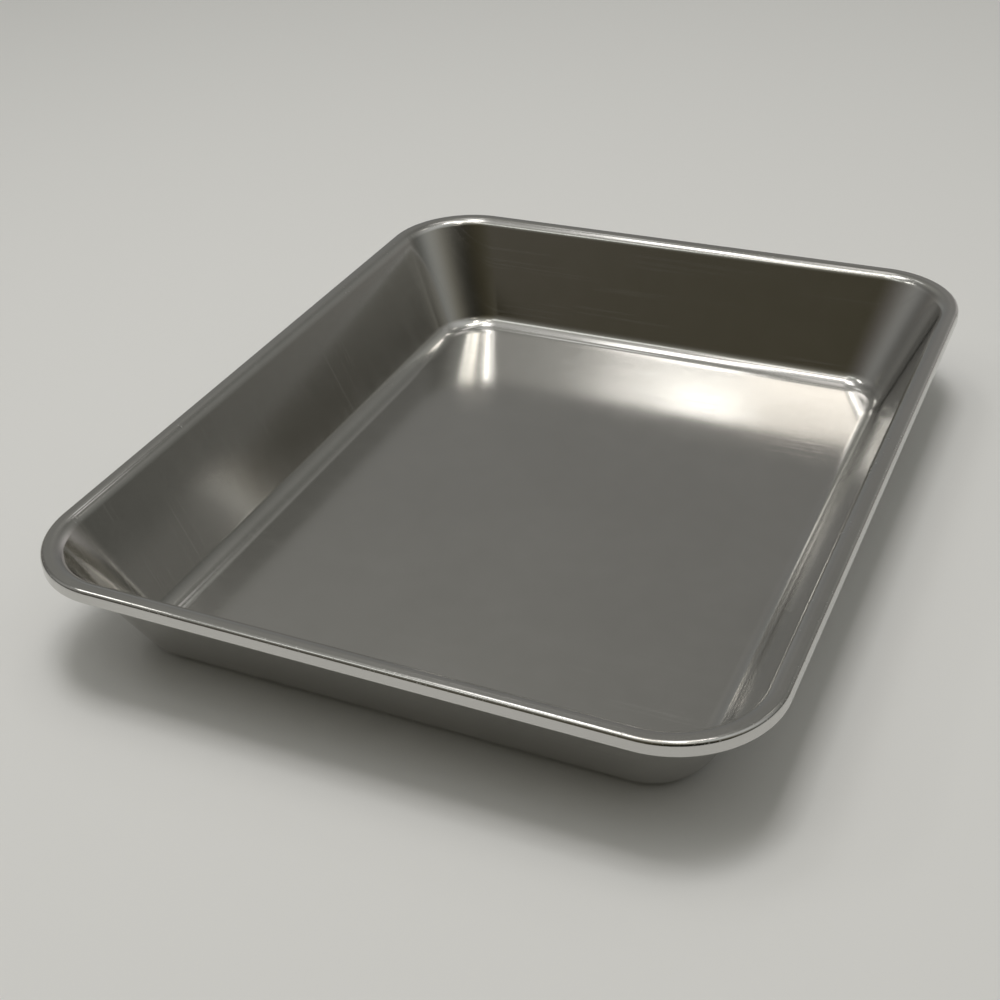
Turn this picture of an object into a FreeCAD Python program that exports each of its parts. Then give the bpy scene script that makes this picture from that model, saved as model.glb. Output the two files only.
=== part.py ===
import FreeCAD, Part
import math
import os
import Sketcher

# Developing tray: one sheet of stainless steel, deep drawn into a shallow
# rectangular pan with a flat flange and a short turned-down edge.
# Frame: origin at the middle of the underside, +Z up, +Y along the long side.

doc = FreeCAD.newDocument("developing_tray")

# ---------------------------------------------------------------- dimensions
sheet = doc.addObject("Spreadsheet::Sheet", "Dimensions")
DIMENSIONS = [
    # alias, value, meaning
    ("rim_width", 300.0, "overall width over the turned-down edge, along X"),
    ("rim_length", 369.0, "overall length over the turned-down edge, along Y"),
    ("rim_corner", 41.4, "plan radius of the outside corners"),
    ("overall_height", 53.0, "from the resting face to the top of the flange"),
    ("sheet_gauge", 0.8, "thickness of the sheet"),
    ("edge_round", 1.8, "outside bend radius where the flange turns down"),
    ("skirt_height", 5.6, "height of the turned-down edge, flange top included"),
    ("mouth_inset", 7.3, "rim to the line where wall and flange planes meet"),
    ("mouth_corner", 34.1, "plan radius of that line at the corners"),
    ("floor_inset", 31.0, "rim to the line where wall and floor planes meet"),
    ("floor_corner", 24.0, "plan radius of that line at the corners"),
    ("floor_round", 10.5, "inside radius between floor and wall"),
    ("mouth_round", 5.9, "radius that rolls the flange over into the wall"),
    ("edge_break", 0.2, "rounding of the cut edge under the skirt"),
    ("headroom", 10.0, "height of the space cleared above the flange"),
]
for row, (alias, value, meaning) in enumerate(DIMENSIONS, start=1):
    sheet.set("A%d" % row, alias)
    sheet.set("B%d" % row, "%g" % value)
    sheet.set("C%d" % row, meaning)
    sheet.setAlias("B%d" % row, alias)
doc.recompute()


def origin_plane(body, role):
    for feature in body.Origin.OriginFeatures:
        if feature.Role == role:
            return feature
    raise RuntimeError("no %s in %s" % (role, body.Name))


def rounded_rectangle(sketch, width, length, corner, names):
    """Centred rounded rectangle: 4 lines, 4 arcs, driven by three constraints."""
    V = FreeCAD.Vector
    a, b, r = width / 2.0, length / 2.0, corner
    first = sketch.GeometryCount
    half = math.pi / 2.0
    corners = [
        (V(a - r, b - r, 0), 0.0), (V(-a + r, b - r, 0), half),
        (V(-a + r, -b + r, 0), 2 * half), (V(a - r, -b + r, 0), 3 * half),
    ]
    # arcs 0, 2, 4, 6 and lines 1, 3, 5, 7, counter-clockwise from +X +Y
    lines = [
        (V(a - r, b, 0), V(-a + r, b, 0)), (V(-a, b - r, 0), V(-a, -b + r, 0)),
        (V(-a + r, -b, 0), V(a - r, -b, 0)), (V(a, -b + r, 0), V(a, b - r, 0)),
    ]
    for (centre, start), (p, q) in zip(corners, lines):
        sketch.addGeometry(Part.ArcOfCircle(
            Part.Circle(centre, V(0, 0, 1), r), start, start + half), False)
        sketch.addGeometry(Part.LineSegment(p, q), False)
    n = first
    for k in range(8):
        sketch.addConstraint(Sketcher.Constraint(
            "Tangent", n + k, 2, n + (k + 1) % 8, 1))
    sketch.addConstraint(Sketcher.Constraint("Horizontal", n + 5))
    sketch.addConstraint(Sketcher.Constraint("Vertical", n + 7))
    for k in (2, 4, 6):
        sketch.addConstraint(Sketcher.Constraint("Equal", n, n + k))
    # centred on the origin: top line's ends mirror in Y, left line's in X,
    # which also keeps those two lines level and upright
    sketch.addConstraint(Sketcher.Constraint("Symmetric", n + 1, 1, n + 1, 2, -2))
    sketch.addConstraint(Sketcher.Constraint("Symmetric", n + 3, 1, n + 3, 2, -1))
    i = sketch.addConstraint(Sketcher.Constraint("DistanceX", n + 3, 1, n + 7, 1, width))
    sketch.renameConstraint(i, names[0])
    i = sketch.addConstraint(Sketcher.Constraint("DistanceY", n + 5, 1, n + 1, 1, length))
    sketch.renameConstraint(i, names[1])
    i = sketch.addConstraint(Sketcher.Constraint("Radius", n, corner))
    sketch.renameConstraint(i, names[2])


def new_sketch(body, name, height_expression):
    sketch = body.newObject("Sketcher::SketchObject", name)
    sketch.AttachmentSupport = [(origin_plane(body, "XY_Plane"), "")]
    sketch.MapMode = "FlatFace"
    if height_expression:
        sketch.setExpression("AttachmentOffset.Base.z", height_expression)
    return sketch


def bind(sketch, names, expressions):
    for name, expression in zip(names, expressions):
        sketch.setExpression("Constraints." + name, expression)


def value(alias):
    return float(sheet.get(alias))


def failed(stage):
    bad = [o.Name for o in doc.Objects
           if "Invalid" in o.State or "Error" in o.State]
    if bad:
        raise RuntimeError("%s failed: %s" % (stage, ", ".join(bad)))


def edges_at(shape, z, tolerance=0.05, inset_min=-1.0, inset_max=1e9):
    """Names of the edges that lie flat at height z, by how far in from the rim."""
    a, b = value("rim_width") / 2.0, value("rim_length") / 2.0
    names = []
    for i, edge in enumerate(shape.Edges, start=1):
        box = edge.BoundBox
        if abs(box.ZMin - z) > tolerance or abs(box.ZMax - z) > tolerance:
            continue
        inset = min(a - max(abs(box.XMin), abs(box.XMax)),
                    b - max(abs(box.YMin), abs(box.YMax)))
        if inset_min <= inset <= inset_max:
            names.append("Edge%d" % i)
    return names


# The sheet is the pressed form less the well: one body gives every face on
# the underside, the other every face on the side the liquid touches.
pan = doc.addObject("PartDesign::Body", "PressedForm")
void = doc.addObject("PartDesign::Body", "WellVoid")

# ------------------------------------------------------ flange and skirt
names = ("plan_width", "plan_length", "plan_corner")
flange_sketch = new_sketch(pan, "FlangeSketch",
                           "Dimensions.overall_height - Dimensions.sheet_gauge")
rounded_rectangle(flange_sketch, value("rim_width"), value("rim_length"),
                  value("rim_corner"), names)
bind(flange_sketch, names, ("Dimensions.rim_width", "Dimensions.rim_length",
                            "Dimensions.rim_corner"))
flange = pan.newObject("PartDesign::Pad", "Flange")
flange.Profile = flange_sketch
flange.setExpression("Length", "Dimensions.sheet_gauge")
doc.recompute()
failed("flange")

inner_names = ("inner_width", "inner_length", "inner_corner")
skirt_sketch = new_sketch(pan, "SkirtSketch",
                          "Dimensions.overall_height - Dimensions.skirt_height")
rounded_rectangle(skirt_sketch, value("rim_width"), value("rim_length"),
                  value("rim_corner"), names)
bind(skirt_sketch, names, ("Dimensions.rim_width", "Dimensions.rim_length",
                           "Dimensions.rim_corner"))
rounded_rectangle(skirt_sketch, value("rim_width") - 2 * value("sheet_gauge"),
                  value("rim_length") - 2 * value("sheet_gauge"),
                  value("rim_corner") - value("sheet_gauge"), inner_names)
bind(skirt_sketch, inner_names,
     ("Dimensions.rim_width - 2 * Dimensions.sheet_gauge",
      "Dimensions.rim_length - 2 * Dimensions.sheet_gauge",
      "Dimensions.rim_corner - Dimensions.sheet_gauge"))
skirt = pan.newObject("PartDesign::Pad", "Skirt")
skirt.Profile = skirt_sketch
skirt.setExpression("Length", "Dimensions.skirt_height")
doc.recompute()
failed("skirt")

# ----------------------------------------------------- outside of the well
# The wall's outside face runs one gauge outside its inside face, so its two
# outlines lie further out in plan by gauge/sin(slope) at one height, and by
# gauge*tan(slope/2) where it meets the underside of the floor.
SLOPE = ("atan((Dimensions.overall_height - Dimensions.sheet_gauge)"
         " / (Dimensions.floor_inset - Dimensions.mouth_inset))")
SIDE = "(Dimensions.sheet_gauge / sin(%s))" % SLOPE
FOOT = "(Dimensions.sheet_gauge * tan(%s / 2))" % SLOPE
slope = math.atan((value("overall_height") - value("sheet_gauge"))
                  / (value("floor_inset") - value("mouth_inset")))
side = value("sheet_gauge") / math.sin(slope)
foot = value("sheet_gauge") * math.tan(slope / 2)


def well_sketch(body, name, height, inset, corner, grow, grow_text):
    """Outline of the well, one inset in from the rim, widened by grow."""
    sketch = new_sketch(body, name, height)
    rounded_rectangle(sketch, value("rim_width") - 2 * (value(inset) - grow),
                      value("rim_length") - 2 * (value(inset) - grow),
                      value(corner) + grow, names)
    bind(sketch, names, (
        "Dimensions.rim_width - 2 * (Dimensions.%s - %s)" % (inset, grow_text),
        "Dimensions.rim_length - 2 * (Dimensions.%s - %s)" % (inset, grow_text),
        "Dimensions.%s + %s" % (corner, grow_text)))
    return sketch


outer_mouth = well_sketch(pan, "OuterMouthSketch", "Dimensions.overall_height",
                          "mouth_inset", "mouth_corner", side, SIDE)
outer_floor = well_sketch(pan, "OuterFloorSketch", "",
                          "floor_inset", "floor_corner", foot, FOOT)
doc.recompute()
failed("outer outlines")
before = pan.Shape.Volume
outer_well = pan.newObject("PartDesign::AdditiveLoft", "WellOutside")
outer_well.Profile = outer_mouth
outer_well.Sections = [outer_floor]
outer_well.Ruled = True
doc.recompute()
failed("outside of the well")
if not pan.Shape.Volume > before + 1000.0:
    raise RuntimeError("the outside of the well added nothing")


def round_edges(body, name, base, edges, expression):
    if not edges:
        raise RuntimeError("%s found no edges" % name)
    fillet = body.newObject("PartDesign::Fillet", name)
    fillet.Base = (base, edges)
    fillet.setExpression("Radius", expression)
    doc.recompute()
    failed(name)
    return fillet


top = value("overall_height")
under = top - value("sheet_gauge")
foot_round = round_edges(
    pan, "FloorRoundOutside", outer_well,
    edges_at(outer_well.Shape, 0.0, inset_min=20.0),
    "Dimensions.floor_round + Dimensions.sheet_gauge")
neck_round = round_edges(
    pan, "MouthRoundOutside", foot_round,
    edges_at(foot_round.Shape, under, inset_min=3.0),
    "Dimensions.mouth_round - Dimensions.sheet_gauge")
bend_inside = round_edges(
    pan, "RimRoundInside", neck_round,
    edges_at(neck_round.Shape, under, inset_min=0.5, inset_max=1.5),
    "Dimensions.edge_round - Dimensions.sheet_gauge")

rim_round = round_edges(
    pan, "RimRound", bend_inside,
    edges_at(bend_inside.Shape, top, inset_max=0.5),
    "Dimensions.edge_round")
# the cut edge is deburred on both sides
edge_break = round_edges(
    pan, "EdgeBreak", rim_round,
    edges_at(rim_round.Shape, top - value("skirt_height"), inset_max=2.0),
    "Dimensions.edge_break")

# ------------------------------------------------------ inside of the well
inner_mouth = well_sketch(void, "InnerMouthSketch", "Dimensions.overall_height",
                          "mouth_inset", "mouth_corner", 0.0, "0")
inner_floor = well_sketch(void, "InnerFloorSketch", "Dimensions.sheet_gauge",
                          "floor_inset", "floor_corner", 0.0, "0")
doc.recompute()
failed("inner outlines")
inner_well = void.newObject("PartDesign::AdditiveLoft", "WellInside")
inner_well.Profile = inner_mouth
inner_well.Sections = [inner_floor]
inner_well.Ruled = True
doc.recompute()
failed("inside of the well")

# the space above the flange, which the wall opens into over the mouth radius
above_sketch = new_sketch(void, "AboveSketch", "Dimensions.overall_height")
rounded_rectangle(above_sketch,
                  value("rim_width") - 2 * value("edge_round"),
                  value("rim_length") - 2 * value("edge_round"),
                  value("rim_corner") - value("edge_round"), names)
bind(above_sketch, names,
     ("Dimensions.rim_width - 2 * Dimensions.edge_round",
      "Dimensions.rim_length - 2 * Dimensions.edge_round",
      "Dimensions.rim_corner - Dimensions.edge_round"))
above = void.newObject("PartDesign::Pad", "Above")
above.Profile = above_sketch
above.setExpression("Length", "Dimensions.headroom")
doc.recompute()
failed("space above")

floor_round = round_edges(
    void, "FloorRound", above,
    edges_at(above.Shape, value("sheet_gauge"), inset_min=20.0),
    "Dimensions.floor_round")
mouth_round = round_edges(
    void, "MouthRound", floor_round,
    edges_at(floor_round.Shape, top, inset_min=3.0),
    "Dimensions.mouth_round")

# ------------------------------------------------------------- the sheet
form_volume = pan.Shape.Volume
tray = doc.addObject("Part::Cut", "TrayPan")
tray.Label = "tray_pan"
tray.Base = pan
tray.Tool = void
doc.recompute()
failed("sheet")
if not tray.Shape.Volume < 0.2 * form_volume:
    raise RuntimeError("the form was not hollowed")

tray.Placement = FreeCAD.Placement(FreeCAD.Vector(0, 0, 0),
                                   FreeCAD.Rotation(0, 0, 0))
doc.recompute()
failed("document")

# ---------------------------------------------------------------- write out
os.makedirs("parts", exist_ok=True)
for part in (tray,):
    shape = part.Shape
    if shape.isNull() or not shape.isValid() or len(shape.Solids) != 1:
        raise RuntimeError("%s is not one valid solid" % part.Label)
    box = shape.BoundBox
    print(part.Label, "volume %.1f mm3" % shape.Volume,
          "box %.2f %.2f %.2f  %.2f %.2f %.2f" % (
              box.XMin, box.YMin, box.ZMin, box.XMax, box.YMax, box.ZMax),
          "faces %d" % len(shape.Faces))
    shape.exportStep("parts/%s.step" % part.Label)
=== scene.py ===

import bpy, math
from mathutils import Vector, Matrix


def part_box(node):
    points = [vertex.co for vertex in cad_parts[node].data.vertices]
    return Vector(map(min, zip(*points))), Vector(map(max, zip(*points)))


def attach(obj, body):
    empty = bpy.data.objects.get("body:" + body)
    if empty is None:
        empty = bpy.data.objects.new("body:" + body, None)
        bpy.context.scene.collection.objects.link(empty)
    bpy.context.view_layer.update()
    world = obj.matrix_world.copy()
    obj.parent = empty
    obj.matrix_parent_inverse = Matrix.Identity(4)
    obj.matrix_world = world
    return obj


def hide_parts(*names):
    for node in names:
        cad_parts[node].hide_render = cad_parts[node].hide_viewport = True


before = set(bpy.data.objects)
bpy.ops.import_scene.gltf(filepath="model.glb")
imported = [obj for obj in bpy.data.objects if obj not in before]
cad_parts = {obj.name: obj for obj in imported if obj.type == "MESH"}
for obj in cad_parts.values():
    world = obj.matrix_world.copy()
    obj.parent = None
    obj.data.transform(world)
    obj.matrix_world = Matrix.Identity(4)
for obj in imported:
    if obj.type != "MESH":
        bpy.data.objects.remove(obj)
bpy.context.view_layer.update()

scene = bpy.context.scene
scene.view_settings.view_transform = 'Standard'
scene.view_settings.look = 'None'
scene.view_settings.exposure = 0.0
scene.view_settings.gamma = 1.0
MM = 0.001

# ------------------------------------------------------------------ the tray
# The same sheet as the CAD node, with even rings of faces and the exact
# surface normal at every point, so that reflections run cleanly over it.
low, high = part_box("tray_pan")
W, L, H = [(high[i] - low[i]) / MM for i in range(3)]
RIM_CORNER, GAUGE, EDGE_ROUND, SKIRT, EDGE_BREAK = 41.4, 0.8, 1.8, 5.6, 0.2
MOUTH_INSET, MOUTH_CORNER, MOUTH_ROUND = 7.3, 34.1, 5.9
FLOOR_INSET, FLOOR_CORNER, FLOOR_ROUND = 31.0, 24.0, 10.5
slope = math.atan((H - GAUGE) / (FLOOR_INSET - MOUTH_INSET))
SIDE, FOOT = GAUGE / math.sin(slope), GAUGE * math.tan(slope / 2)

# plan directions: for each corner (sx, sy), the angle of the outward normal
STEPS = 36
plan = []
for quadrant, (sx, sy) in enumerate([(1, 1), (-1, 1), (-1, -1), (1, -1)]):
    for k in range(STEPS + 1):
        phi = math.radians(90.0 * (quadrant + k / STEPS))
        plan.append((sx, sy, math.cos(phi), math.sin(phi)))


def outline(inset, corner, z):
    """Points of a rounded rectangle, one per plan direction."""
    a, b = W / 2 - inset - corner, L / 2 - inset - corner
    return [(sx * a + corner * ex, sy * b + corner * ey, z) for sx, sy, ex, ey in plan]


def ring(points, tilt, rub):
    """A ring of the section. tilt: per direction, (outward, up) of the normal.
    rub: 0 to 1, how much this line of the tray rubs on other things in use."""
    return points, [(o * ex, o * ey, u) for (o, u), (sx, sy, ex, ey) in zip(tilt, plan)], rub


class Wall:
    """One face of the sloping wall: a ruled surface between two outlines."""

    def __init__(self, top, bottom):
        (self.i0, self.c0, self.z0), (self.i1, self.c1, self.z1) = top, bottom
        run = (self.i1 + self.c1) - (self.i0 + self.c0)
        self.theta = [math.atan2(self.z0 - self.z1,
                                 run * (abs(ex) + abs(ey)) - (self.c1 - self.c0))
                      for sx, sy, ex, ey in plan]

    def point(self, j, z):
        k = (self.z0 - z) / (self.z0 - self.z1)
        inset, corner = self.i0 + k * (self.i1 - self.i0), self.c0 + k * (self.c1 - self.c0)
        sx, sy, ex, ey = plan[j]
        return (sx * (W / 2 - inset - corner) + corner * ex,
                sy * (L / 2 - inset - corner) + corner * ey)

    def bend(self, radius, level, below, share):
        """Ring at a share of the arc from the flat (0) to the wall (1). below:
        the arc hangs under the flat at level, as at the mouth; else it stands
        on it, as at the floor."""
        points, tilt = [], []
        for j, (sx, sy, ex, ey) in enumerate(plan):
            th = self.theta[j]
            a = th * share
            if below:
                x, y = self.point(j, level - radius * (1 - math.cos(th)))
                out = radius * (math.sin(th) - math.sin(a))
                z = level - radius * (1 - math.cos(a))
            else:
                x, y = self.point(j, level + radius * (1 - math.cos(th)))
                out = -radius * (math.sin(th) - math.sin(a))
                z = level + radius * (1 - math.cos(a))
            points.append((x + out * ex, y + out * ey, z))
            tilt.append((math.sin(a), math.cos(a)))
        return points, tilt


inside = Wall((MOUTH_INSET, MOUTH_CORNER, H), (FLOOR_INSET, FLOOR_CORNER, GAUGE))
outside = Wall((MOUTH_INSET - SIDE, MOUTH_CORNER + SIDE, H),
               (FLOOR_INSET - FOOT, FLOOR_CORNER + FOOT, 0.0))
rings = []


def flat(tilt):
    return [tilt] * len(plan)


def arc(centre_inset, z, radius, start, stop, steps, rub):
    """Rounding at the rim, centred centre_inset in from the edge."""
    for k in range(steps + 1):
        a = start + (stop - start) * k / steps
        inset = centre_inset - radius * math.cos(a)
        rings.append(ring(outline(inset, RIM_CORNER - inset, z + radius * math.sin(a)),
                          flat((math.cos(a), math.sin(a))),
                          rub * math.sin(math.pi * k / steps)))


def bends(wall, radius, level, below, shares, sign, rub):
    for share in shares:
        points, tilt = wall.bend(radius, level, below, share)
        rings.append(ring(points, [(-sign * o, sign * u) for o, u in tilt],
                          rub * math.sin(math.pi * share)))


up = [k / 16 for k in range(17)]
bends(inside, FLOOR_ROUND, GAUGE, False, up, 1, 0.0)
bends(inside, MOUTH_ROUND, H, True, up[::-1], 1, 0.35)
half = math.pi / 2
arc(EDGE_ROUND, H - EDGE_ROUND, EDGE_ROUND, half, 0.0, 12, 1.0)
foot_z = H - SKIRT
arc(EDGE_BREAK, foot_z + EDGE_BREAK, EDGE_BREAK, 0.0, -half, 4, 0.8)
arc(GAUGE - EDGE_BREAK, foot_z + EDGE_BREAK, EDGE_BREAK, -half, -2 * half, 4, 0.0)
bend = EDGE_ROUND - GAUGE
for k in range(5):      # inside of the turned-down bend
    a = half * k / 4
    inset = EDGE_ROUND - bend * math.cos(a)
    rings.append(ring(outline(inset, RIM_CORNER - inset, H - EDGE_ROUND + bend * math.sin(a)),
                      flat((-math.cos(a), -math.sin(a))), 0.0))
bends(outside, MOUTH_ROUND - GAUGE, H - GAUGE, True, up, -1, 0.0)
bends(outside, FLOOR_ROUND + GAUGE, 0.0, False, up[::-1], -1, 0.7)

count = len(plan)
verts, normals, rubbed, faces = [], [], [], []
for points, tilts, rub in rings:
    verts += [tuple(v * MM for v in p) for p in points]
    normals += tilts
    rubbed += [rub] * count
for i in range(len(rings) - 1):
    for j in range(count):
        a, b = i * count + j, i * count + (j + 1) % count
        faces.append((a, a + count, b + count, b))
last = (len(rings) - 1) * count
for base, z, turned in ((0, GAUGE, False), (last, 0.0, True)):
    # the flat floor: quads across, between facing points of its outline
    order = list(range(count))
    first, second = order[:count // 2], order[count // 2:][::-1]
    for k in range(len(first) - 1):
        quad = (base + first[k], base + first[k + 1], base + second[k + 1], base + second[k])
        faces.append(quad[::-1] if turned else quad)
mesh = bpy.data.meshes.new("tray_sheet")
mesh.from_pydata(verts, [], faces)
mesh.update()
mesh.polygons.foreach_set("use_smooth", [True] * len(mesh.polygons))
mesh.attributes.new("rubbed", 'FLOAT', 'POINT').data.foreach_set("value", rubbed)
mesh.normals_split_custom_set_from_vertices([Vector(n).normalized() for n in normals])
tray = bpy.data.objects.new("tray_sheet", mesh)
scene.collection.objects.link(tray)
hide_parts("tray_pan")
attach(tray, "root")

STEEL = (0.602, 0.595, 0.578)
ROUGH = 0.15
FILL = 12.0

# ------------------------------------------------------------ satin stainless
# All patterns are worked out from the tray's own coordinates, in metres.
steel = bpy.data.materials.new("stainless_satin")
steel.use_nodes = True
tree = steel.node_tree
shader = tree.nodes["Principled BSDF"]
where = tree.nodes.new('ShaderNodeTexCoord').outputs['Object']


def turned(angle, stretch):
    """The coordinates turned about Z and stretched, for lines in one direction."""
    m = tree.nodes.new('ShaderNodeMapping')
    m.vector_type = 'POINT'
    m.inputs['Rotation'].default_value = (0.0, 0.0, math.radians(angle))
    m.inputs['Scale'].default_value = stretch
    tree.links.new(where, m.inputs['Vector'])
    return m.outputs['Vector']


def noise(scale, detail=2.0, vector=None):
    n = tree.nodes.new('ShaderNodeTexNoise')
    n.inputs['Scale'].default_value = scale
    n.inputs['Detail'].default_value = detail
    n.inputs['Roughness'].default_value = 0.55
    tree.links.new(where if vector is None else vector, n.inputs['Vector'])
    return n.outputs['Fac']


def span(value, low_in, high_in, low_out, high_out, smooth=False):
    n = tree.nodes.new('ShaderNodeMapRange')
    n.interpolation_type = 'SMOOTHSTEP' if smooth else 'LINEAR'
    n.inputs['From Min'].default_value = low_in
    n.inputs['From Max'].default_value = high_in
    n.inputs['To Min'].default_value = low_out
    n.inputs['To Max'].default_value = high_out
    tree.links.new(value, n.inputs['Value'])
    return n.outputs['Result']


def calc(operation, a, b=0.0):
    n = tree.nodes.new('ShaderNodeMath')
    n.operation = operation
    for socket, v in zip(n.inputs, (a, b)):
        if isinstance(v, (int, float)):
            socket.default_value = v
        else:
            tree.links.new(v, socket)
    return n.outputs['Value']


def total(*values):
    out = values[0]
    for v in values[1:]:
        out = calc('ADD', out, v)
    return out


grain = noise(2600, 1.0)                 # the satin of the rolled sheet, 0.4 mm
pitting = noise(850, 1.0)                # soft mottling, about 1 mm
drawn = noise(95, 1.0)                   # where the sheet was stretched, 10 mm
cloud = noise(14, 2.0)                   # handling and washing marks, 70 mm

# hairlines: two sparse families of thin straight lines, in patches
lines = []
for angle, across, seldom, low, high in ((12, 1500, 0.66, 0.46, 0.58), (-52, 1150, 0.67, 0.54, 0.42)):
    streak = noise(1.0, 0.0, turned(angle, (9.0, across, 9.0)))
    patch = span(cloud, low, high, 0.0, 1.0, True)
    lines.append(calc('MULTIPLY', span(streak, seldom, seldom + 0.05, 0.0, 1.0, True), patch))
hairlines = total(*lines)

# wear: the rim's outer edge, its foot and the resting edge, broken up
edge = tree.nodes.new('ShaderNodeAttribute')
edge.attribute_name = "rubbed"
worn = calc('MULTIPLY', edge.outputs['Fac'], span(drawn, 0.38, 0.62, 0.25, 1.0, True))
nicks = calc('MULTIPLY', edge.outputs['Fac'], span(pitting, 0.62, 0.70, 0.0, 1.0, True))

# colour: a slightly warm grey, cloudy, a little brighter where it is rubbed
tone = total(span(cloud, 0.3, 0.7, -0.020, 0.020), span(drawn, 0.3, 0.7, -0.008, 0.008),
             span(grain, 0.3, 0.7, -0.012, 0.012), calc('MULTIPLY', worn, 0.035),
             calc('MULTIPLY', hairlines, -0.02), calc('MULTIPLY', nicks, -0.12))
mix = tree.nodes.new('ShaderNodeMix')
mix.data_type = 'RGBA'      # its colour sockets are inputs 6 and 7, output 2
mix.inputs[6].default_value = (STEEL[0] * 0.80, STEEL[1] * 0.80, STEEL[2] * 0.785, 1)
mix.inputs[7].default_value = (STEEL[0] * 1.20, STEEL[1] * 1.20, STEEL[2] * 1.215, 1)
tree.links.new(span(tone, -0.2, 0.2, 0.0, 1.0), mix.inputs[0])
tree.links.new(mix.outputs[2], shader.inputs['Base Color'])

# gloss: satin, uneven by cloud and grain, burnished on rubbed edges
gloss = total(span(cloud, 0.3, 0.7, ROUGH - 0.012, ROUGH + 0.012),
              span(drawn, 0.3, 0.7, -0.008, 0.008), span(pitting, 0.3, 0.7, -0.015, 0.015),
              span(grain, 0.3, 0.7, -0.02, 0.02), calc('MULTIPLY', hairlines, 0.07),
              calc('MULTIPLY', worn, -0.035), calc('MULTIPLY', nicks, 0.25))
tree.links.new(gloss, shader.inputs['Roughness'])
shader.inputs['Metallic'].default_value = 1.0

# relief: grain and hairlines, a thousandth or two of a millimetre deep
relief = total(calc('MULTIPLY', grain, 0.0000013), calc('MULTIPLY', pitting, 0.0000016),
               calc('MULTIPLY', drawn, 0.000003), calc('MULTIPLY', hairlines, -0.0000010))
bump = tree.nodes.new('ShaderNodeBump')
bump.inputs['Strength'].default_value = 1.0
bump.inputs['Distance'].default_value = 1.0
tree.links.new(relief, bump.inputs['Height'])
tree.links.new(bump.outputs['Normal'], shader.inputs['Normal'])
tray.data.materials.append(steel)

# ---------------------------------------------------------------- the camera
AZ, EL, ROLL = math.radians(26.629), math.radians(33.574), math.radians(-3.606)
OFFSET = Vector((19.488, -41.256, 654.539))
backward = Vector((math.sin(AZ) * math.cos(EL), -math.cos(AZ) * math.cos(EL), math.sin(EL)))
forward = -backward
right = forward.cross(Vector((0, 0, 1))).normalized()
down = forward.cross(right)
c, s = math.cos(ROLL), math.sin(ROLL)
right, down = right * c - down * s, right * s + down * c
place = -(Matrix((right, down, forward)).transposed() @ OFFSET) + Vector((0, 0, 53.0))
cam_data = bpy.data.cameras.new("view")
cam = bpy.data.objects.new("view", cam_data)
scene.collection.objects.link(cam)
turn = Matrix((right, -down, -forward)).transposed().to_4x4()
turn.translation = place * MM
cam.matrix_world = turn
cam_data.sensor_width = 36.0
cam_data.lens = 36.0 * 1.499
cam_data.clip_start, cam_data.clip_end = 0.01, 50
scene.camera = cam

# ----------------------------------------------------------------- the studio
ground = bpy.data.meshes.new("floor")
ground.from_pydata([(-6, -6, 0), (6, -6, 0), (6, 6, 0), (-6, 6, 0)], [], [(0, 1, 2, 3)])
floor = bpy.data.objects.new("floor", ground)
scene.collection.objects.link(floor)
paper = bpy.data.materials.new("pale_paper")
paper.use_nodes = True
sheet = paper.node_tree.nodes["Principled BSDF"]
sheet.inputs["Base Color"].default_value = (0.80, 0.80, 0.79, 1)
sheet.inputs["Roughness"].default_value = 0.9
sheet.inputs["Specular IOR Level"].default_value = 0.0
ground.materials.append(paper)

# A dim plain room as soft patches of light: height and bearing in degrees
# (bearing from +X towards +Y), then strength in red, green and blue.
ROOM = (
    (6, 51, 0.067, 0.066, 0.054), (6, 77, 0.438, 0.414, 0.410),
    (6, 129, 0.166, 0.172, 0.170), (6, 154, 0.176, 0.167, 0.152),
    (6, 206, 0.018, 0.024, 0.019), (6, 257, 0.066, 0.059, 0.036),
    (28, 15, 0.234, 0.238, 0.226), (28, 75, 0.075, 0.082, 0.072),
    (28, 105, 0.117, 0.113, 0.108), (28, 135, 0.020, 0.020, 0.019),
    (28, 195, 0.275, 0.271, 0.262), (28, 225, 0.068, 0.057, 0.053),
    (28, 345, 0.045, 0.035, 0.008), (52, 0, 0.402, 0.405, 0.410),
    (52, 45, 0.206, 0.200, 0.186), (52, 135, 0.262, 0.258, 0.238),
    (52, 225, 0.154, 0.168, 0.145), (52, 270, 0.080, 0.065, 0.032),
    (76, 135, 0.058, 0.066, 0.050), (76, 225, 0.488, 0.468, 0.476),
    (76, 315, 0.442, 0.465, 0.422),
)
room = bpy.data.worlds.new("room")
scene.world = room
room.use_nodes = True
tree = room.node_tree
tree.nodes.clear()


def vector(operation, a, b=None, scale=None):
    n = tree.nodes.new('ShaderNodeVectorMath')
    n.operation = operation
    for socket, v in ((n.inputs[0], a), (n.inputs[1], b), (n.inputs[3], scale)):
        if isinstance(v, (tuple, float)):
            socket.default_value = v
        elif v is not None:
            tree.links.new(v, socket)
    return n.outputs['Value' if operation == 'DOT_PRODUCT' else 'Vector']


aim = vector('NORMALIZE', tree.nodes.new('ShaderNodeTexCoord').outputs['Generated'])
light = (0.004, 0.004, 0.003)
for height, bearing, red, green, blue in ROOM:
    e, a = math.radians(height), math.radians(bearing)
    axis = (14 * math.cos(a) * math.cos(e), 14 * math.sin(a) * math.cos(e), 14 * math.sin(e))
    # falls off from the middle of the patch as exp(14 (cos - 1))
    power = calc('EXPONENT', calc('SUBTRACT', vector('DOT_PRODUCT', aim, axis), 14.0))
    light = vector('ADD', vector('SCALE', (red, green, blue), scale=power), light)
back = tree.nodes.new('ShaderNodeBackground')
tree.links.new(light, back.inputs['Color'])
tree.links.new(back.outputs[0], tree.nodes.new('ShaderNodeOutputWorld').inputs['Surface'])


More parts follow.
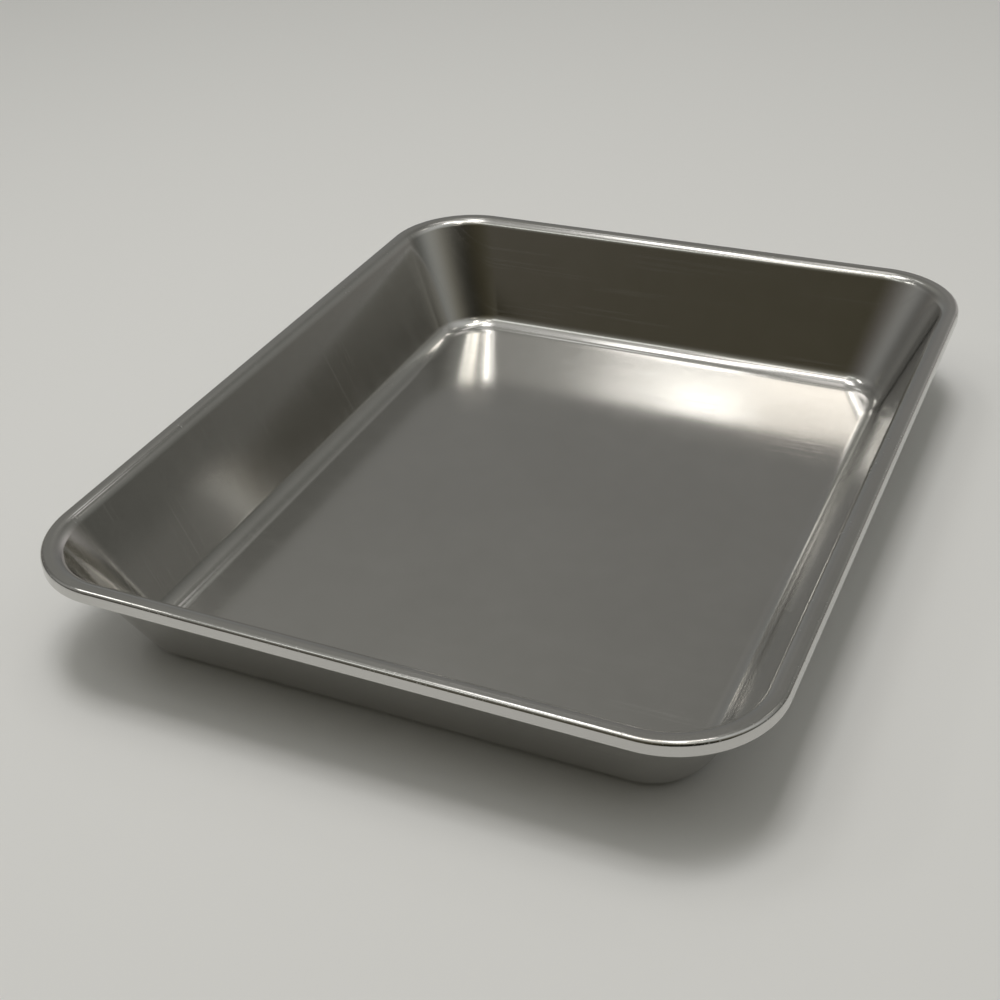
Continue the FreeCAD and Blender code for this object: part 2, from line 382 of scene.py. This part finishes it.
def softbox(name, x, y, z, size_x, size_y, watts, colour):
    """An overhead panel, facing down."""
    data = bpy.data.lights.new(name, 'AREA')
    data.shape, data.size, data.size_y = 'RECTANGLE', size_x, size_y
    data.energy, data.color = watts, colour
    lamp = bpy.data.objects.new(name, data)
    lamp.location = (x, y, z)
    scene.collection.objects.link(lamp)
    return lamp


# overhead panels at 1.2 m: place, size, watts, red and blue against green
PANELS = (
    ("left_a", -0.30, 0.05, 0.10, 0.20, 0.357, 1.01, 0.97),
    ("left_b", -0.35, 0.25, 0.20, 0.20, 0.285, 1.03, 0.99),
    ("left_c", -0.40, 0.00, 0.10, 0.30, 0.152, 1.02, 0.97),
    ("middle_a", 0.05, 0.05, 0.20, 0.20, 0.414, 1.07, 0.92),
    ("middle_b", 0.05, 0.25, 0.20, 0.20, 0.205, 1.01, 0.92),
    ("middle_c", 0.20, 0.20, 0.10, 0.10, 0.181, 1.08, 0.98),
    ("middle_d", -0.15, -0.15, 0.20, 0.20, 0.413, 1.07, 0.92),
    ("middle_e", 0.20, -0.25, 0.10, 0.20, 0.371, 1.09, 0.95),
    ("front_left", -0.60, -0.70, 0.40, 0.20, 0.296, 0.98, 0.97),
    ("front_right", 0.60, -0.70, 0.40, 0.20, 0.156, 1.08, 0.85),
    ("left_wide", -0.95, -0.30, 0.20, 0.40, 0.750, 1.02, 0.96),
    ("front_middle", -0.25, -0.50, 0.20, 0.20, 0.200, 1.02, 0.96),
    ("far_left", -0.50, 0.70, 0.20, 0.20, 0.094, 1.00, 1.00),
    ("far_middle", -0.10, 0.60, 0.20, 0.40, 0.158, 1.05, 0.99),
    ("far_right", 0.50, 0.70, 0.20, 0.20, 0.076, 1.03, 0.90),
    ("right_near", 1.00, -0.50, 0.40, 0.40, 0.065, 1.00, 0.92),
)
for name, x, y, size_x, size_y, watts, red, blue in PANELS:
    softbox(name, x, y, 1.2, size_x, size_y, watts, (red, 1.0, blue))
# fills the floor only: it is kept out of reflections
fill = softbox("floor_fill", 0.0, 0.0, 2.4, 0.6, 0.6, FILL, (1.0, 1.0, 1.0))
fill.visible_glossy = False
